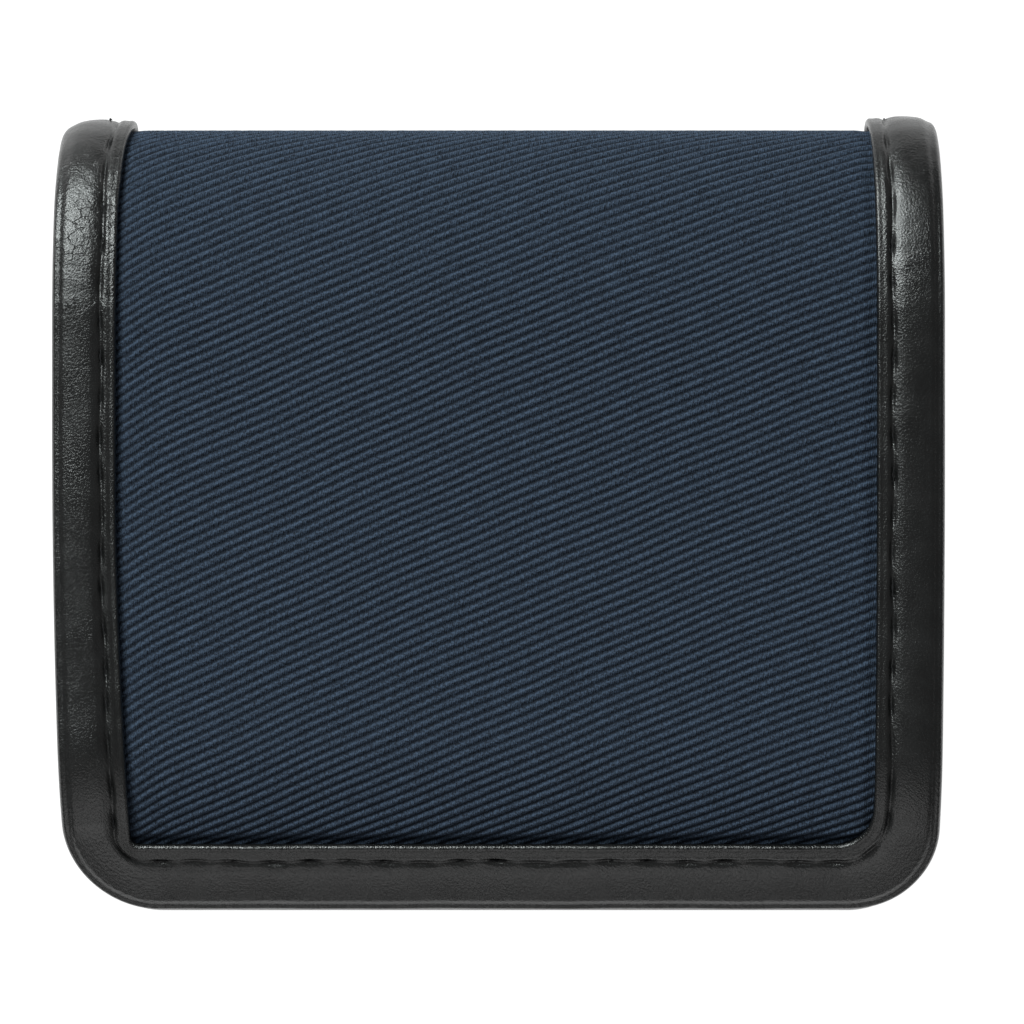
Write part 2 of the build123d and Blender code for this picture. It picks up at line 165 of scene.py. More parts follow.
def cross_section():
    """Straight runs and arcs of the outer cloth's face: start length, y, z, heading and curvature."""
    back_run, lift, back_radius = BACK_EDGE
    front_run, drop, front_radius = FRONT_EDGE
    lift, drop = radians(lift), radians(drop)
    start_y = -DEPTH / 2 + EDGE_LEATHER * cos(lift) + PROUD * sin(lift)
    start_z = PROUD + back_run * sin(lift) + back_radius * (1 - cos(lift))
    fold_y = DEPTH / 2 - PROUD - FOLD_ARCS[0][0]
    back_flat = fold_y - start_y - back_run * cos(lift) - back_radius * sin(lift)
    heading, fold_reach = 0.0, 0.0
    for radius, turn in FOLD_ARCS:
        fold_reach += radius * (sin(heading + radians(turn)) - sin(heading))
        heading += radians(turn)
    end_y = -DEPTH / 2 + FRONT_SHORTER + EDGE_LEATHER * cos(drop) + PROUD * sin(drop)
    front_flat = fold_y + fold_reach - end_y - front_run * cos(drop) - front_radius * sin(drop)
    runs = [(back_run, 0.0), (back_radius * lift, 1 / back_radius), (back_flat, 0.0)]
    runs += [(radius * radians(turn), 1 / radius) for radius, turn in FOLD_ARCS]
    runs += [(front_flat, 0.0), (front_radius * drop, 1 / front_radius), (front_run, 0.0)]
    rows, s, y, z, heading = [], 0.0, start_y, start_z, -lift
    for length, curve in runs:
        rows.append((s, y, z, heading, curve))
        turned = heading + length * curve
        if curve:
            y += (sin(turned) - sin(heading)) / curve
            z += (cos(heading) - cos(turned)) / curve
        else:
            y, z = y + length * cos(heading), z + length * sin(heading)
        s, heading = s + length, turned
    return np.array(rows).T, s


(RUN_S, RUN_Y, RUN_Z, RUN_HEADING, RUN_CURVE), S_END = cross_section()
FOLD_S = RUN_S[3]
FRONT_FLAT_S = RUN_S[7]


def run_at(s):
    """Number of the run that length s is on."""
    return np.clip(np.searchsorted(RUN_S, s, side="right") - 1, 0, len(RUN_S) - 1)


def heading_at(s):
    """Heading of the cross-section at length s, in radians."""
    i = run_at(s)
    return RUN_HEADING[i] + (s - RUN_S[i]) * RUN_CURVE[i]


def length_at(heading):
    """Length along the fold where the cross-section has this heading, in degrees."""
    lengths = np.linspace(FOLD_S, FRONT_FLAT_S, 4000)
    return float(np.interp(radians(heading), heading_at(lengths), lengths))


def tapered(x, y):
    """x after the covers' slight narrowing towards their free edges."""
    share = np.clip((TAPER_FROM - y) / TAPER_SPAN, 0, None) ** 2
    left, right = TAPER_LOSS
    return x + share * ((left - right) / 2 - x / HALF * (left + right) / 2)


def wrap(x, s, h):
    """Bends places (x, s, h), in millimetres, round the cross-section. Gives points in metres."""
    x, s, h = np.broadcast_arrays(np.asarray(x, float), s, h)
    i = run_at(s)
    heading, curve, run = RUN_HEADING[i], RUN_CURVE[i], s - RUN_S[i]
    turned = heading + run * curve
    radius = 1 / np.where(curve == 0, 1, curve)
    y = RUN_Y[i] + np.where(curve == 0, run * np.cos(heading), radius * (np.sin(turned) - np.sin(heading)))
    z = RUN_Z[i] + np.where(curve == 0, run * np.sin(heading), radius * (np.cos(heading) - np.cos(turned)))
    y = y + h * np.sin(turned)
    return np.stack([tapered(x, y), y, z - h * np.cos(turned)], -1) * MM


def flat_place(z, facing):
    """A placing of (x, y, h) on a level surface at height z that faces up (1) or down (-1)."""

    def place(x, y, h):
        x, y, h = np.broadcast_arrays(np.asarray(x, float), y, h)
        return np.stack([tapered(x, y), y, z + facing * h], -1) * MM

    return place


CUTS = tuple(length_at(heading) for heading in CUT_HEADINGS)
PARTS = {"back": (-10.0, CUTS[0]), "mid": CUTS, "front": (CUTS[1], S_END + 10.0)}
SIDE_STRETCHES = ((CORNERS[1], CUTS[0]), CUTS, (CUTS[1], S_END - CORNERS[1]))
SIDE_ROWS = tuple(round((high - low) / ROW_STEP) for low, high in SIDE_STRETCHES)
END_ROWS = round((WIDTH - sum(CORNERS.values())) / ROW_STEP)


def inner_height(s_low, s_high, y):
    """Height of the lining's face at depth y, on the stretch of the cross-section between two lengths."""
    s = np.linspace(s_low, s_high, 3000)
    place = wrap(0, s, LINING_FACE) / MM
    order = np.argsort(place[:, 1])
    return np.interp(y, place[order, 1], place[order, 2])


# -------- meshes


def smoothstep(t):
    t = np.clip(t, 0, 1)
    return t * t * (3 - 2 * t)


def bell(distance, width):
    return np.exp(-((distance / width) ** 2))


def on_turn(s, rise, end, fall):
    """Share of the fold at length s: it rises over the first degrees of the turn and falls towards an end."""
    heading = np.degrees(heading_at(s))
    return smoothstep(heading / rise) * smoothstep((end - heading) / fall)


def grid_faces(rows, columns, close_rows=False, close_columns=False):
    """Quads of a grid of points that is numbered row by row."""
    number = np.arange(rows * columns).reshape(rows, columns)
    if close_rows:
        number = np.vstack([number, number[:1]])
    if close_columns:
        number = np.hstack([number, number[:, :1]])
    corners = [number[:-1, :-1], number[:-1, 1:], number[1:, 1:], number[1:, :-1]]
    return np.stack([c.ravel() for c in corners], -1)


def vertex_normals(points, faces):
    """Normals of a mesh's points, each face counted by its area."""
    a, b, c, d = (points[faces[:, k]] for k in range(4))
    normals = np.zeros_like(points)
    for k in range(4):
        np.add.at(normals, faces[:, k], np.cross(c - a, d - b))
    return normals / np.maximum(np.linalg.norm(normals, axis=1, keepdims=True), 1e-12)


def add_object(name, data):
    obj = bpy.data.objects.new(name, data)
    bpy.context.scene.collection.objects.link(obj)
    return obj


def make_object(name, points, faces, material, uv, normals=None):
    """A smooth mesh object. uv holds places on the material in millimetres."""
    mesh = bpy.data.meshes.new(name)
    faces = faces.tolist() if isinstance(faces, np.ndarray) else faces
    mesh.from_pydata(np.asarray(points, float).reshape(-1, 3).tolist(), [], faces)
    mesh.shade_smooth()
    corner = np.zeros(len(mesh.loops), np.int32)
    mesh.loops.foreach_get("vertex_index", corner)
    layer = mesh.uv_layers.new(name="place")
    layer.data.foreach_set("uv", np.asarray(uv, np.float32).reshape(-1, 2)[corner].ravel())
    if normals is not None:
        mesh.normals_split_custom_set_from_vertices(np.asarray(normals, float).reshape(-1, 3).tolist())
    mesh.materials.append(material)
    return add_object(name, mesh)


def capped(points, faces, count):
    """A tube's faces with its two lids, each of this many points."""
    last = len(points)
    return faces.tolist() + [list(range(count)), list(range(last - count, last))[::-1]]


def bend(obj, part):
    """Bakes the transform of the back, mid or front piece of a continuous layer into its mesh."""
    if part == "back":
        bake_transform(obj)
    elif part == "mid":
        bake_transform(obj)
    else:
        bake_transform(obj)


def cut_layer(name, points, faces, uv, normals, lengths, material, nodes):
    """Cuts a continuous layer by its points' lengths into three pieces, which stand for the given nodes."""
    made, face_s = [], lengths[faces].mean(1)
    for part, (low, high) in PARTS.items():
        kept = faces[(face_s >= low) & (face_s < high)]
        used, numbers = np.unique(kept, return_inverse=True)
        obj = make_object(f"{name}_{part}", points[used], numbers.reshape(kept.shape), material, uv[used],
                          normals[used])
        if nodes:
            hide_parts(*nodes[part])
        bend(obj, part)
        made.append(obj)
    return made


# -------- outer cloth and lining


def steps(breaks, step):
    """Values from the first break to the last, about a step apart, that hold every break."""
    values = [np.linspace(a, b, max(1, int(np.ceil((b - a) / step))), endpoint=False)
              for a, b in zip(breaks, breaks[1:])]
    return np.append(np.concatenate(values), breaks[-1])


def rib_place(x, s):
    """Distance across the cloth's ribs, which run up to the right and turn slightly over the width."""
    wander = 0.10 * np.sin(x / 9.0 + s / 23.0) + 0.07 * np.sin(x / 4.1 - s / 11.0)
    left_pull = 0.9 * bell(x + HALF - LIP, 5.0)
    return RIB_ACROSS * s + RIB_SIDEWAYS * x + RIB_CURVE * x * x + wander - left_pull


def cloth_places(x, s):
    """Places on the cloth's material: along the ribs, and across them."""
    return RIB_ACROSS * x - RIB_SIDEWAYS * s, rib_place(x, s)


def plain_places(x, s):
    return x, s


def cloth_height(x, s):
    """Height of the ribbed outer cloth, which dips where the binding covers its border."""
    wave = 0.5 + 0.5 * np.cos(2 * pi * rib_place(x, s) / RIB_PITCH)
    side = HALF - LIP * (1 + side_share(x, s)) - np.abs(x)
    ends = np.minimum(s + EDGE_LEATHER - LIP, S_END + EDGE_LEATHER - s - LIP * END_WIDER["front"])
    dip = smoothstep(1 - np.minimum(side, ends) / 2.2) * (1 - 0.8 * on_turn(s, 40, 150, 30))
    crown = 0.05 * np.sin(x / 17.0 + 1.0) * np.sin(s / 21.0)
    return -RIB_HEIGHT * (1 - wave**0.8) * (1 - 0.4 * dip) - 0.75 * dip + crown


def surface(x, s, height, places, face_out):
    """Points, normals and places of a height field on the cross-section."""

    def beside(across, along):
        return wrap(x + across, s + along, height(x + across, s + along))

    e = 0.04
    points = beside(0, 0)
    normals = np.cross(beside(0, e) - beside(0, -e), beside(e, 0) - beside(-e, 0)) * face_out
    normals /= np.linalg.norm(normals, axis=-1, keepdims=True)
    uv = np.stack(places(x, s), -1)
    return points.reshape(-1, 3), normals.reshape(-1, 3), uv.reshape(-1, 2)


def nodes_of(cover, spine):
    """The nodes that the pieces of a continuous layer stand for."""
    mid = [f"spine_{spine}_1", f"spine_{spine}_2"]
    return {"back": [f"back_{cover}"], "mid": mid, "front": [f"front_{cover}"]}


def height_layer(name, size, height, places, face_out, material, nodes):
    """A sheet over both covers and the fold, cut into three pieces."""
    half, inset, step_x, step_s = size
    s_values = steps((inset, *CUTS, S_END - inset), step_s)
    x_values = steps((-half, half), step_x)
    s, x = (a for a in np.meshgrid(s_values, x_values, indexing="ij"))
    points, normals, uv = surface(x, s, height, places, face_out)
    faces = grid_faces(*s.shape)
    if face_out > 0:
        faces = faces[:, ::-1]
    made = cut_layer(name, points, faces, uv, normals, s.ravel(), material, nodes)


def lining_height(x, s):
    """Height of the lining, which wrinkles in the fold."""
    wrinkle = 0.16 * np.sin(s / 0.55 + 0.6 * np.sin(x / 9)) + 0.07 * np.sin(s / 0.31 + x / 5)
    slack = 0.05 * np.sin(x / 13 + 2) * np.sin(s / 15)
    return LINING_FACE + 0.12 - on_turn(s, 25, 175, 40) * (0.16 + wrinkle) + slack


def make_cloth(material):
    nodes = nodes_of("outer_fabric", "fabric")
    height_layer("outer_cloth", CLOTH_SIZE, cloth_height, cloth_places, 1, material, nodes)


def make_lining(material):
    nodes = nodes_of("lining", "lining")
    height_layer("lining", LINING_SIZE, lining_height, plain_places, -1, material, nodes)


def make_board(side, s_low, s_high, material):
    """A cover's stiffening board, with rounded corners at the free edge and softened edges."""
    half, corner = HALF - EDGE_LEATHER - BOARD_GAP, CORNERS[-1] - EDGE_LEATHER
    rows = steps((s_low, s_high), BOARD_STEP)
    free = np.abs(rows - (s_high if side == "front" else s_low))
    narrow = corner - np.sqrt(np.maximum(corner**2 - np.maximum(corner - free, 0) ** 2, 0))
    soft, round_off = BOARD_SOFT
    section = [(soft, BOARD_TOP), (0.0, BOARD_TOP - round_off), (0.0, BOARD_BOTTOM + round_off),
               (soft, BOARD_BOTTOM)]
    sign, inset, h = np.array([(-1, *p) for p in section[::-1]] + [(1, *p) for p in section]).T
    x = sign * (half - narrow[:, None] - inset)
    s = np.repeat(rows[:, None], len(h), 1)
    points = wrap(x, s, h).reshape(-1, 3)
    faces = capped(points, grid_faces(*s.shape, close_columns=True), len(h))
    obj = make_object(f"board_{side}", points, faces, material, np.stack([x, s], -1))
    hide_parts(f"{side}_board")
    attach(obj, f"{side}_half")


# -------- binding

# Cross-section of the binding as (inset from the edge, height), on the covers and over the fold
SECTION = np.array([
    (9.9, -0.05), (10.5, 0.35), (10.55, 1.05), (10.25, 1.62), (9.6, 1.5), (8.9, 1.74), (8.05, 1.6), (7.2, 1.68),
    (5.8, 1.82), (4.2, 1.84), (2.8, 1.74), (1.9, 1.64), (1.4, 1.24), (1.0, 1.16), (0.5, 1.2), (0.1, 0.5),
    (0.0, -0.6), (0.0, -2.2), (0.25, -3.3), (1.0, -4.0), (2.4, -4.12), (5.5, -4.1), (7.6, -4.0), (8.35, -3.9),
    (8.42, -3.3), (8.1, -2.95), (5.0, -2.95), (1.3, -2.9), (1.2, -1.5), (1.3, -0.1), (5.0, -0.1)])
FOLD_SECTION = SECTION.copy()
FOLD_SECTION[8:20] = [(5.9, 1.8), (5.0, 1.76), (4.1, 1.62), (3.2, 1.34), (2.4, 0.95), (1.7, 0.42), (1.1, -0.25),
                      (0.62, -1.05), (0.3, -1.9), (0.15, -2.7), (0.4, -3.5), (1.1, -4.0)]


def rounded(section):
    """Cuts a closed outline's corners three times, which makes it smooth."""
    for _ in range(3):
        ahead = np.roll(section, -1, 0)
        section = np.stack([0.75 * section + 0.25 * ahead, 0.25 * section + 0.75 * ahead], 1).reshape(-1, 2)
    return section


def section_points(count):
    """The two smooth cross-sections at matching points, closer together on the outer face."""
    dense, fold = rounded(SECTION), rounded(FOLD_SECTION)
    length = np.linalg.norm(np.roll(dense, -1, 0) - dense, axis=1)
    weight = np.cumsum(length * np.where(dense[:, 1] > 0.2, 3.2, 1.0))
    chosen = np.unique(np.searchsorted(weight, np.linspace(0, weight[-1], count, endpoint=False)))
    return dense[chosen], fold[chosen]


def corner_radii(inset, sign, sharp):
    """Radius of a corner at each inset, across and along."""
    outer = CORNERS[sign]
    radius = np.maximum(outer - inset, 1.2)
    if sign > 0:
        radius = np.interp(inset, [0, LIP], [outer, RIGHT_WINDOW_RADIUS])
    if sharp:
        pinched = np.interp(inset, [0, SHARP_FROM, SHARP_AT], [outer, outer - SHARP_FROM, SHARP_RADIUS])
        radius = np.minimum(radius, pinched)
    return radius


def corner_arc(sign, side, falling, inset):
    """A corner of the binding's loop at each inset, as arrays of x and s. sign is -1 left and 1 right."""
    radius = corner_radii(inset, sign, side == "front" and sign < 0)
    stretch = 1.09 if side == "front" else 1.0
    angle = np.linspace(0, pi / 2, CORNER_ROWS)[:, None]
    if falling:
        angle = angle[::-1]
    end, inward = (S_END + EDGE_LEATHER, -1) if side == "front" else (-EDGE_LEATHER, 1)
    x = sign * (HALF - inset - radius * (1 - np.cos(angle)))
    s = end + inward * (inset * END_WIDER[side] + radius * stretch * (1 - np.sin(angle)))
    return x, s


def straight(x_ends, s_ends, count):
    """Rows between two ends at each inset, without the ends themselves."""
    t = np.linspace(0, 1, count + 1)[1:-1, None]
    return x_ends[0] + t * (x_ends[1] - x_ends[0]), s_ends[0] + t * (s_ends[1] - s_ends[0])


def side_run(x, s_from, s_to):
    """A straight side of the loop, with rows exactly at the cuts."""
    rising = np.mean(s_to) > np.mean(s_from)
    cuts, counts = (CUTS, SIDE_ROWS) if rising else (CUTS[::-1], SIDE_ROWS[::-1])
    stops = [s_from, *(np.full_like(s_from, c) for c in cuts), s_to]
    found = []
    for k, count in enumerate(counts):
        found.append(straight((x, x), (stops[k], stops[k + 1]), count))
        if k < len(cuts):
            found.append((x[None], stops[k + 1][None]))
    return found


def loop(inset):
    """The binding's loop at each inset: up the left side, along the front edge and back, as x and s."""
    inset = np.atleast_1d(np.asarray(inset, float))
    order = ((-1, "front", False), (1, "front", True), (1, "back", False), (-1, "back", True))
    corners = [corner_arc(*corner, inset) for corner in order]
    runs = []
    for k in (0, 2):
        (last_x, last_s), (x, s), (next_x, next_s) = corners[k - 1], corners[k], corners[k + 1]
        runs += side_run(last_x[-1], last_s[-1], s[0])
        runs += [(x, s), straight((x[-1], next_x[0]), (s[-1], next_s[0]), END_ROWS), (next_x, next_s)]
    x, s = np.concatenate([r[0] for r in runs]), np.concatenate([r[1] for r in runs])
    return x - np.sign(x) * side_share(x, s) * inset, s


def side_share(x, s):
    """How much further in the border reaches at the sides, as a share of the inset."""
    fold = on_turn(s, 60, 180, 100)
    corner = smoothstep((s - S_END + 66) / 56)
    left = FOLD_WIDER[-1] * fold + LEFT_CORNER_WIDER * corner
    return np.where(x < 0, left, RIGHT_WIDER + FOLD_WIDER[1] * fold) * smoothstep((np.abs(x) - 38) / 20)


def travelled(x, y):
    """Distance along a line to each of its points."""
    return np.concatenate([[0], np.cumsum(np.hypot(np.diff(x), np.diff(y)))])


GROOVE_X, GROOVE_S = (a[:, 0] for a in loop(GROOVE))
*GROOVE_AT, GROOVE_LENGTH = travelled(np.append(GROOVE_X, GROOVE_X[0]), np.append(GROOVE_S, GROOVE_S[0]))
GROOVE_AT = np.array(GROOVE_AT)
STITCHES = round(GROOVE_LENGTH / STITCH_PITCH)


def leather_relief(x, s, inset, h, turn):
    """How far the binding's leather stands out or in: the sewn groove, its puckers and the skin's own relief."""
    outside = smoothstep((h - 0.3) / 0.8)
    inside = smoothstep((-3.3 - h) / 0.5)
    pull = np.sin(pi * turn) ** 2
    uneven = 1 + 0.25 * np.sin(turn * 2.17 + 1.3) + 0.18 * np.sin(turn * 5.1)
    groove = (0.2 + 0.34 * pull * uneven) * bell(inset - GROOVE - 0.16 * np.sin(turn * 1.7), 0.26 + 0.1 * pull)
    groove += 0.2 * bell(inset - GROOVE, 1.05)
    pucker = 0.035 * (1 - pull) * (bell(inset - GROOVE + 1.5, 0.9) + bell(inset - GROOVE - 1.4, 0.6))
    fold = smoothstep((s - FOLD_S + 12) / 12) * smoothstep((FRONT_FLAT_S + 6 - s) / 16)
    soft = 0.05 * np.sin(s / 7.3 + x / 5.0) + 0.035 * np.sin(s / 3.1 - x / 2.3)
    soft += 0.03 * np.sin(x / 6.1 - s / 11.0)
    creases = 0.018 * fold * np.sin(s / 0.62 + 1.3 * np.sin(inset / 1.9) + 0.8 * np.sin(s / 4.4))
    return outside * (soft + creases + pucker - groove) - inside * (pucker + soft * 0.6 - 0.6 * groove)


def make_binding(material):
    """The leather binding: one closed loop round both covers and over the fold, cut into three pieces."""
    flat, fold = section_points(104)
    x, s = loop(flat[:, 0])
    x_fold, _ = loop(fold[:, 0])
    on_fold = on_turn(s, 70, 172, 50)
    right = x[:, :1] > 0
    rise = STRAP_RISE * on_fold * right
    on_fold = on_fold * np.where(right, *FOLD_ROUNDING)
    x = x + on_fold * (x_fold - x)
    h = flat[:, 1] + on_fold * (fold[:, 1] - flat[:, 1]) + rise
    inset = flat[:, 0] + on_fold * (fold[:, 0] - flat[:, 0])
    turn = np.repeat((GROOVE_AT / GROOVE_LENGTH * STITCHES)[:, None], len(flat), 1)
    h = h + leather_relief(x, s, inset, h, turn)
    points = wrap(x, s, h).reshape(-1, 3)
    faces = grid_faces(*x.shape, close_rows=True, close_columns=True)
    normals = vertex_normals(points, faces)
    across = np.repeat(travelled(*flat.T)[None], len(x), 0)
    uv = np.stack([across + 3.0, np.repeat(GROOVE_AT[:, None], len(flat), 1)], -1).reshape(-1, 2)
    nodes = nodes_of("binding", "straps")
    cut_layer("binding", points, faces, uv, normals, s.ravel(), material, nodes)


# -------- thread


def thread_mesh(starts, ends, radius, sag, place, rings=13, sides=6, turns=1.6):
    """Twisted two-strand stitches between pairs of places (a, b, h), whose ends dip into their holes."""
    t = np.linspace(0, 1, rings)
    line = starts[:, None] + (ends - starts)[:, None] * t[:, None]
    line[..., 2] -= sag * np.abs(2 * t - 1) ** 5
    along = (ends - starts)[:, :2]
    along = along / np.linalg.norm(along, axis=1, keepdims=True)
    side = np.stack([-along[:, 1], along[:, 0]], 1)[:, None, None, None]
    strand = np.array([0.0, pi])[:, None, None]
    twist = 2 * pi * turns * t[None, :, None] + strand
    round_ = np.linspace(0, 2 * pi, sides, endpoint=False)[None, None, :]
    lateral = radius * (0.5 * np.cos(twist) + 0.62 * np.cos(round_))
    up = radius * (0.5 * np.sin(twist) + 0.62 * np.sin(round_))
    ab = line[:, None, :, None, :2] + side * lateral[None, ..., None]
    h = line[:, None, :, None, 2] + up[None]
    points = place(ab[..., 0], ab[..., 1], h).reshape(-1, 3)
    tubes = len(starts) * 2
    one = grid_faces(rings, sides, close_columns=True)
    faces = (one[None] + (np.arange(tubes) * rings * sides)[:, None, None]).reshape(-1, 4)
    return points, faces, ab.reshape(-1, 2)


def stitch_ends(x, s, h, pitch, length):
    """Start and end places of the stitches along a line, as straight pieces between holes."""
    at = travelled(x, s)
    count = max(1, int(round(at[-1] / pitch)))
    step = at[-1] / count
    middle = (np.arange(count) + 0.5) * step
    ends = []
    for offset in (-0.5, 0.5):
        place = middle + offset * length * step / pitch
        ends.append(np.stack([np.interp(place, at, x), np.interp(place, at, s), np.full(count, h)], 1))
    return ends


def make_binding_thread(material):
    """The black sewing thread in the binding's groove, on the outer and the inner face."""
    x, s = np.append(GROOVE_X, GROOVE_X[0]), np.append(GROOVE_S, GROOVE_S[0])
    found = []
    for h, facing in THREAD_FACES:
        starts, ends = stitch_ends(x, s, h, GROOVE_LENGTH / STITCHES, STITCH_LENGTH)
        found.append(thread_mesh(starts, ends, THREAD, 0.35 * facing, wrap))
    found.append(thread_mesh(*strap_knots(), THREAD * 0.8, 0.0, wrap))
    points, faces, uv = joined(found)
    normals = vertex_normals(points, faces)
    cut_layer("stitching", points, faces, uv, normals, uv[:, 1], material, None)


def strap_knots():
    """Short crossing ends of thread that stand up where the straps turn over the fold."""
    s = length_at(97)
    starts, ends = [], []
    for sign in (-1, 1):
        side = GROOVE_X * sign > 0
        x = np.interp(s, GROOVE_S[side][:: -sign], GROOVE_X[side][:: -sign])
        for dx, ds, rise in ((0.5, 0.5, 0.75), (-0.4, 0.6, 0.6), (0.2, -0.5, 0.85)):
            starts.append((x - dx, s - ds, PROUD - 0.7))
            ends.append((x + dx, s + ds, PROUD - 0.7 + rise))
    return np.array(starts), np.array(ends)


def joined(meshes):
    """Several meshes as one, each given as points, faces and uv."""
    points, faces, uv = zip(*meshes)
    starts = np.cumsum([0] + [len(p) for p in points])
    faces = [f + start for f, start in zip(faces, starts)]
    return np.concatenate(points), np.concatenate(faces), np.concatenate(uv)


# -------- pockets


def spans(node):
    """Ranges of a node of the frame in x, y and z."""
    return [(low / MM, high / MM) for low, high in zip(*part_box(node))]


def outline(corners, inset=0.0, closed=True, step=1.6, arc=7):
    """Places round a shape of square corners (x, y, radius), set in by a distance.

    The corners run counter-clockwise round a shape and clockwise round a hole. An open outline has no run
    from its last corner back to its first.
    """
    corners = np.asarray(corners, float)
    here = corners[:, :2]
    out = np.roll(here, -1, 0) - here
    length = np.linalg.norm(out, axis=1)
    out = out / length[:, None]
    come = np.roll(out, 1, 0)
    turn = come[:, 0] * out[:, 1] - come[:, 1] * out[:, 0]
    moved = here + inset * np.stack([-(come + out)[:, 1], (come + out)[:, 0]], 1)
    radius = np.maximum(corners[:, 2] - turn * inset, 0.15)
    angle = np.linspace(0, pi / 2, arc)[:, None]
    found = []
    for k in range(len(corners)):
        centre = moved[k] + radius[k] * (out[k] - come[k])
        found.append(centre + radius[k] * (np.sin(angle) * come[k] - np.cos(angle) * out[k]))
        after = (k + 1) % len(corners)
        run_end = moved[after] - radius[after] * come[after]
        t = np.linspace(0, 1, max(1, int(length[k] / step)) + 1)[1:-1, None]
        found.append(found[-1][-1] + t * (run_end - found[-1][-1]))
    return np.concatenate(found if closed else found[:-1])


def rectangle(x_range, y_range, radius, mouth_radius=None):
    """Corners of a rectangle, from its upper left one round its lower edge."""
    (x0, x1), (y0, y1) = x_range, y_range
    upper = radius if mouth_radius is None else mouth_radius
    return [(x0, y1, upper), (x0, y0, radius), (x1, y0, radius), (x1, y1, upper)]


def edge_profile(low, high, groove=1.4):
    """Insets and heights round the edge of a leather piece, with a pressed groove beside its seam."""
    soft = min(0.25, 0.35 * (high - low))
    press = min(0.13, 0.25 * (high - low))
    lower = [(groove + 0.6, low), (groove + 0.35, low), (groove, low + press), (groove - 0.35, low), (0.35, low),
             (0.1, low + 0.3 * soft), (0.0, low + soft)]
    return lower + [(inset, high + low - height) for inset, height in lower[::-1]]


def slab(shapes, profile):
    """A flat piece with softened edges, from its outline and any holes. Gives points and faces."""
    points, faces, lids, count = [], [], [[], []], 0
    for corners in shapes:
        rings = np.array([[(x, y, height) for x, y in outline(corners, inset)] for inset, height in profile])
        faces += (grid_faces(*rings.shape[:2], close_columns=True) + count).tolist()
        for lid, row in zip(lids, (0, len(profile) - 1)):
            lid.append((rings[row], count + row * rings.shape[1]))
        points.append(rings.reshape(-1, 3))
        count += rings.shape[0] * rings.shape[1]
    points = np.concatenate(points)
    for lid, facing in zip(lids, (-1, 1)):
        numbers = np.concatenate([start + np.arange(len(ring)) for ring, start in lid])
        for triangle in tessellate_polygon([[Vector(p) for p in ring] for ring, _ in lid]):
            a, b, c = numbers[list(triangle)]
            turned = np.cross(points[b, :2] - points[a, :2], points[c, :2] - points[a, :2])
            faces.append([int(a), int(b), int(c)] if turned * facing > 0 else [int(a), int(c), int(b)])
    return points, faces


def wall(corners, profile, low, high, closed):
    """A thin wall along an outline. profile holds (inset, share of the height); low and high depend on y."""
    plan = np.array([outline(corners, inset, closed) for inset, _ in profile])
    share = np.array([part for _, part in profile])[:, None]
    y = plan[..., 1]
    z = low(y) + share * (high(y) - low(y))
    points = np.concatenate([plan, z[..., None]], -1)
    rows, columns = plan.shape[:2]
    faces = grid_faces(rows, columns, close_rows=True, close_columns=closed).tolist()
    if not closed:
        first = (np.arange(rows) * columns).tolist()
        faces += [first, [number + columns - 1 for number in first[::-1]]]
    return points.reshape(-1, 3), faces


def place_flat(pieces, material, node, body):
    """One object that stands for a node, from flat pieces given as points in millimetres and faces."""
    points, faces, count = [], [], 0
    for piece_points, piece_faces in pieces:
        faces += [[number + count for number in face] for face in piece_faces]
        points.append(piece_points)
        count += len(piece_points)
    x, y, z = np.concatenate(points).T
    placed = np.stack([tapered(x, y), y, z], 1) * MM
    obj = make_object(f"{node}_made", placed, faces, material, np.stack([x + z, y + z], 1))
    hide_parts(node)
    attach(obj, body)
    return obj


def seam_thread(name, lines, z, facing, body, material):
    """Small stitches along straight seams, on a level face."""
    found = []
    for line in lines:
        x, y = np.array(line, float).T
        starts, ends = stitch_ends(x, y, 0.0, SEAM_PITCH, SEAM_PITCH * 0.72)
        found.append(thread_mesh(starts, ends, SEAM_THREAD, 0.2, flat_place(z, facing), 7, 4, 0.6))
    points, faces, uv = joined(found)
    obj = make_object(name, points, faces, material, uv)
    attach(obj, body)


def seam_line(x_range, y_range, inset=SEAM_INSET, closed=False):
    """The seam of a pocket: down its left side, along its bottom and up its right side."""
    (x0, x1), (y0, y1) = x_range, y_range
    x0, x1, y0 = x0 + inset, x1 - inset, y0 + inset
    top = y1 - (inset if closed else 0.6)
    line = [(x0, top), (x0, y0), (x1, y0), (x1, top)]
    return line + [(x0, top)] if closed else line


def pleat(thickness, depth, rows=9):
    """Insets and height shares of a wall whose middle is folded inward."""
    share = np.linspace(0, 1, rows)
    fold = depth * np.sin(pi * share) ** 2
    outer = list(zip(fold, share))
    return outer + [(inset + thickness, part) for inset, part in outer[::-1]]


def make_coin_pocket(material, thread):
    """Gusset and panel of the zipped coin pocket in the back cover."""
    x_range, y_range, (_, top) = spans("coin_pocket_gusset")
    corners = rectangle(x_range, y_range, POCKET_CORNER)
    gusset = wall(corners, pleat(*COIN_PLEAT), lambda y: inner_height(0.0, FOLD_S, y),
                  lambda y: np.full_like(y, top), True)
    place_flat([gusset], material, "coin_pocket_gusset", "back_half")

    bottom, face = spans("coin_pocket_panel")[2]
    middle = sum(spans("zip_end_stops")[1]) / 2
    half_x, half_y = ZIP_WINDOW[0] / 2, ZIP_WINDOW[1] / 2
    window = (-half_x, half_x), (middle - half_y, middle + half_y)
    hole = rectangle(*window, ZIP_WINDOW_RADIUS)[::-1]
    panel = slab([corners, hole], edge_profile(bottom, face, ZIP_GROOVE))
    place_flat([panel], material, "coin_pocket_panel", "back_half")
    border = (y_range[1] - middle - half_y) / 2
    lines = [seam_line(x_range, y_range), seam_line(*window, -border, True)]
    seam_thread("stitching_coin_pocket", lines, face, 1, "back_half", thread)


